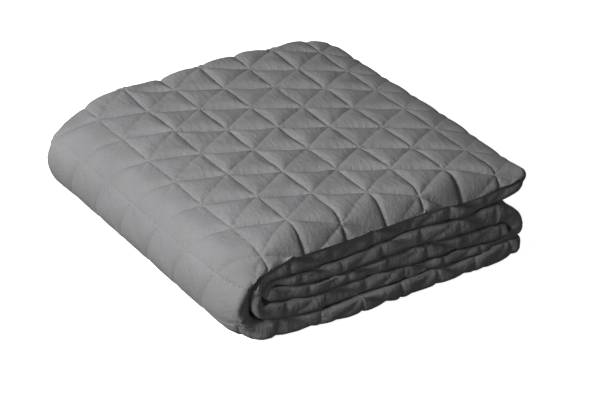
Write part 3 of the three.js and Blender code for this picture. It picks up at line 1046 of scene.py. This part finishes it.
def stretched_noise(first, second, detail):
    """Noise from -0.5 to 0.5 on two measures."""
    place = cloth_tree.nodes.new("ShaderNodeCombineXYZ")
    cloth_tree.links.new(first, place.inputs["X"])
    cloth_tree.links.new(second, place.inputs["Y"])
    node = cloth_tree.nodes.new("ShaderNodeTexNoise")
    node.inputs["Scale"].default_value = 1
    node.inputs["Detail"].default_value = detail
    cloth_tree.links.new(place.outputs["Vector"], node.inputs["Vector"])
    return calculate(cloth_tree, "SUBTRACT", node.outputs["Fac"], NOISE_MEAN)


def cloth_noise(long_size, cross_size, detail):
    """Noise with hills of this size along the strip and across it."""
    return stretched_noise(measured((1 / long_size, 0)), measured((0, 1 / cross_size)), detail)


warp_slubs = cloth_noise(*SLUB_SIZE, FINE_DETAIL)
weft_slubs = cloth_noise(*SLUB_SIZE[::-1], FINE_DETAIL)
slubs = calculate(cloth_tree, "ADD", warp_slubs, weft_slubs)
nap = cloth_noise(NAP_SIZE, NAP_SIZE, PLAIN_DETAIL)
print(len(cloth_tree.nodes), "nodes with the weave and the nap")

# %% Puckers beside the seams
# A family has the number of its stitch lines in each millimetre along and across the strip, the
# direction in which they run, where their count starts, and the depth of their puckers
PUCKER_PITCH = 3.4
PUCKER_WIDTH = 9.0
PUCKER_STEP = 5.3
per_side = 1 / TRIANGLE_SIDE
half_line = 0.5 / LINE_SPACING
Family = namedtuple("Family", "lines run offset depth")
FAMILIES = [
    Family((1 / LINE_SPACING, 0), (0, 1), 0, 1.9),
    Family((-half_line, per_side), (0.866, 0.5), -CROSSING_Y * per_side, 1.0),
    Family((half_line, per_side), (0.866, -0.5), -CROSSING_Y * per_side, 0.8),
]

puckers = 0.0
for family in FAMILIES:
    number = calculate(cloth_tree, "ADD", measured(family.lines), family.offset)
    away = calculate(cloth_tree, "PINGPONG", number, 0.5)
    away = calculate(cloth_tree, "MULTIPLY", away, LINE_SPACING)
    near = calculate(cloth_tree, "MULTIPLY", away, -2 / PUCKER_WIDTH)
    near = calculate(cloth_tree, "EXPONENT", near)
    run = measured([part / PUCKER_PITCH for part in family.run])
    seam = calculate(cloth_tree, "MULTIPLY", number, PUCKER_STEP)
    ripple = calculate(cloth_tree, "MULTIPLY", stretched_noise(run, seam, PLAIN_DETAIL), near)
    puckers = calculate(cloth_tree, "MULTIPLY_ADD", ripple, family.depth, puckers)
print("puckers beside", len(FAMILIES), "families of seams")

# %% Wrinkles, height and colour
CLOTH_COLOUR = (0.17, 0.17, 0.174)
CLOTH_ROUGHNESS = 0.85
ROUGHNESS_SHARE = 0.2
WRINKLE_SIZE = (5.0, 14.0)
WRINKLE_RISE = 1.8
SLUB_RISE = 0.48
SLUB_SHARE = 0.3
NAP_SHARE = 0.3

crease_node = cloth_tree.nodes.new("ShaderNodeAttribute")
crease_node.attribute_name = crease_mask.name
wrinkles = cloth_noise(*WRINKLE_SIZE, FINE_DETAIL)
wrinkles = calculate(cloth_tree, "MULTIPLY", wrinkles, crease_node.outputs["Fac"])
height = calculate(cloth_tree, "MULTIPLY_ADD", slubs, SLUB_RISE, puckers)
height = calculate(cloth_tree, "MULTIPLY_ADD", wrinkles, WRINKLE_RISE, height)
bump = cloth_tree.nodes.new("ShaderNodeBump")
bump.inputs["Distance"].default_value = MILLIMETRE
cloth_tree.links.new(height, bump.inputs["Height"])
cloth_tree.links.new(bump.outputs["Normal"], cloth_surface.inputs["Normal"])

tone = calculate(cloth_tree, "MULTIPLY_ADD", nap, NAP_SHARE, 1)
tone = calculate(cloth_tree, "MULTIPLY_ADD", slubs, SLUB_SHARE, tone)
colour = cloth_tree.nodes.new("ShaderNodeVectorMath")
colour.operation = "SCALE"
colour.inputs[0].default_value = CLOTH_COLOUR
cloth_tree.links.new(tone, colour.inputs["Scale"])
cloth_tree.links.new(colour.outputs["Vector"], cloth_surface.inputs["Base Color"])
roughness = calculate(cloth_tree, "MULTIPLY_ADD", slubs, ROUGHNESS_SHARE, CLOTH_ROUGHNESS)
cloth_tree.links.new(roughness, cloth_surface.inputs["Roughness"])
print(len(cloth_tree.nodes), "nodes in the cloth")

# %% [markdown]
# ## Floor and light
# The picture was lit from the left, so that the wide fold is the brightest face, the top is
# darker and the front lies in shade. A bright room would flatten this. One large soft light
# does it, and two weak ones, low in front and behind, keep the shade from going black. The
# floor glows for the camera alone, so that it stays white under so little light.

# %% Floor
FLOOR_SIZE = 12
FLOOR_DROP = 0.0005
FLOOR_TONE = 0.92
FLOOR_BOUNCE = 0.04
FLOOR_GLOW = 0.92
FLOOR_ROUGHNESS = 0.9

far = FLOOR_SIZE / 2
floor_corners = [(-far, -far, 0), (far, -far, 0), (far, far, 0), (-far, far, 0)]
floor_mesh = bpy.data.meshes.new("floor")
floor_mesh.from_pydata(floor_corners, [], [(0, 1, 2, 3)])
floor = add_object("floor", floor_mesh)
floor.location.z = -FLOOR_DROP

paper = bpy.data.materials.new("pale_floor")
paper.use_nodes = True
paper_tree = paper.node_tree
paper_surface = paper_tree.nodes["Principled BSDF"]
paper_surface.inputs["Roughness"].default_value = FLOOR_ROUGHNESS
paper_surface.inputs["Emission Color"].default_value = (1, 1, 1, 1)
floor_seen = paper_tree.nodes.new("ShaderNodeLightPath").outputs["Is Camera Ray"]
added_tone = FLOOR_TONE - FLOOR_BOUNCE
seen_tone = calculate(paper_tree, "MULTIPLY_ADD", floor_seen, added_tone, FLOOR_BOUNCE)
paper_colour = paper_tree.nodes.new("ShaderNodeCombineColor")
for channel in ("Red", "Green", "Blue"):
    paper_tree.links.new(seen_tone, paper_colour.inputs[channel])
glow = calculate(paper_tree, "MULTIPLY", floor_seen, FLOOR_GLOW)
paper_tree.links.new(paper_colour.outputs["Color"], paper_surface.inputs["Base Color"])
paper_tree.links.new(glow, paper_surface.inputs["Emission Strength"])
floor_mesh.materials.append(paper)
print("the floor is", FLOOR_SIZE, "m wide")

# %% Light
# A lamp is turned from the left of the pile towards its front and raised, in degrees, and its
# distance and size are in metres
Lamp = namedtuple("Lamp", "name turn rise distance size power shine")
LAMPS = [
    Lamp("key_light", 4, 36, 2.5, 1.0, 108, 1),
    Lamp("front_light", 80, 4, 3.0, 2.4, 18, 0),
    Lamp("back_light", 215, 6, 3.0, 2.4, 13, 0),
]


def toward(lamp):
    """The direction from the pile to a lamp."""
    lamp_turn, lamp_rise = math.radians(lamp.turn), math.radians(lamp.rise)
    level = math.cos(lamp_rise)
    return Vector((-math.cos(lamp_turn) * level, -math.sin(lamp_turn) * level, math.sin(lamp_rise)))


for lamp in LAMPS:
    light = add_object(lamp.name, bpy.data.lights.new(lamp.name, "AREA"))
    light.data.energy = lamp.power
    light.data.shape = "SQUARE"
    light.data.size = lamp.size
    light.data.specular_factor = lamp.shine
    light.location = toward(lamp) * lamp.distance
    light.rotation_euler = (-toward(lamp)).to_track_quat("-Z", "Y").to_euler()
print(len(LAMPS), "lights")

# %% Surroundings
ROOM_LIGHT = 0.05

world = bpy.data.worlds.new("studio")
world.use_nodes = True
background = world.node_tree.nodes["Background"]
background.inputs["Color"].default_value = (1, 1, 1, 1)
room_seen = world.node_tree.nodes.new("ShaderNodeLightPath").outputs["Is Camera Ray"]
strength = calculate(world.node_tree, "MULTIPLY_ADD", room_seen, 1 - ROOM_LIGHT, ROOM_LIGHT)
world.node_tree.links.new(strength, background.inputs["Strength"])
bpy.context.scene.world = world
bpy.context.scene.view_settings.view_transform = "Standard"
print("the room gives", ROOM_LIGHT, "of the light")

# %% [markdown]
# ## Handing the pieces over
# The blanket stands for the plain solid of the frame, and its flat size is declared, so that
# the area of the folded cloth can be compared with it.

# %% Declarations
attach(blanket, "root")
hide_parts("blanket")
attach(stitches, "root")
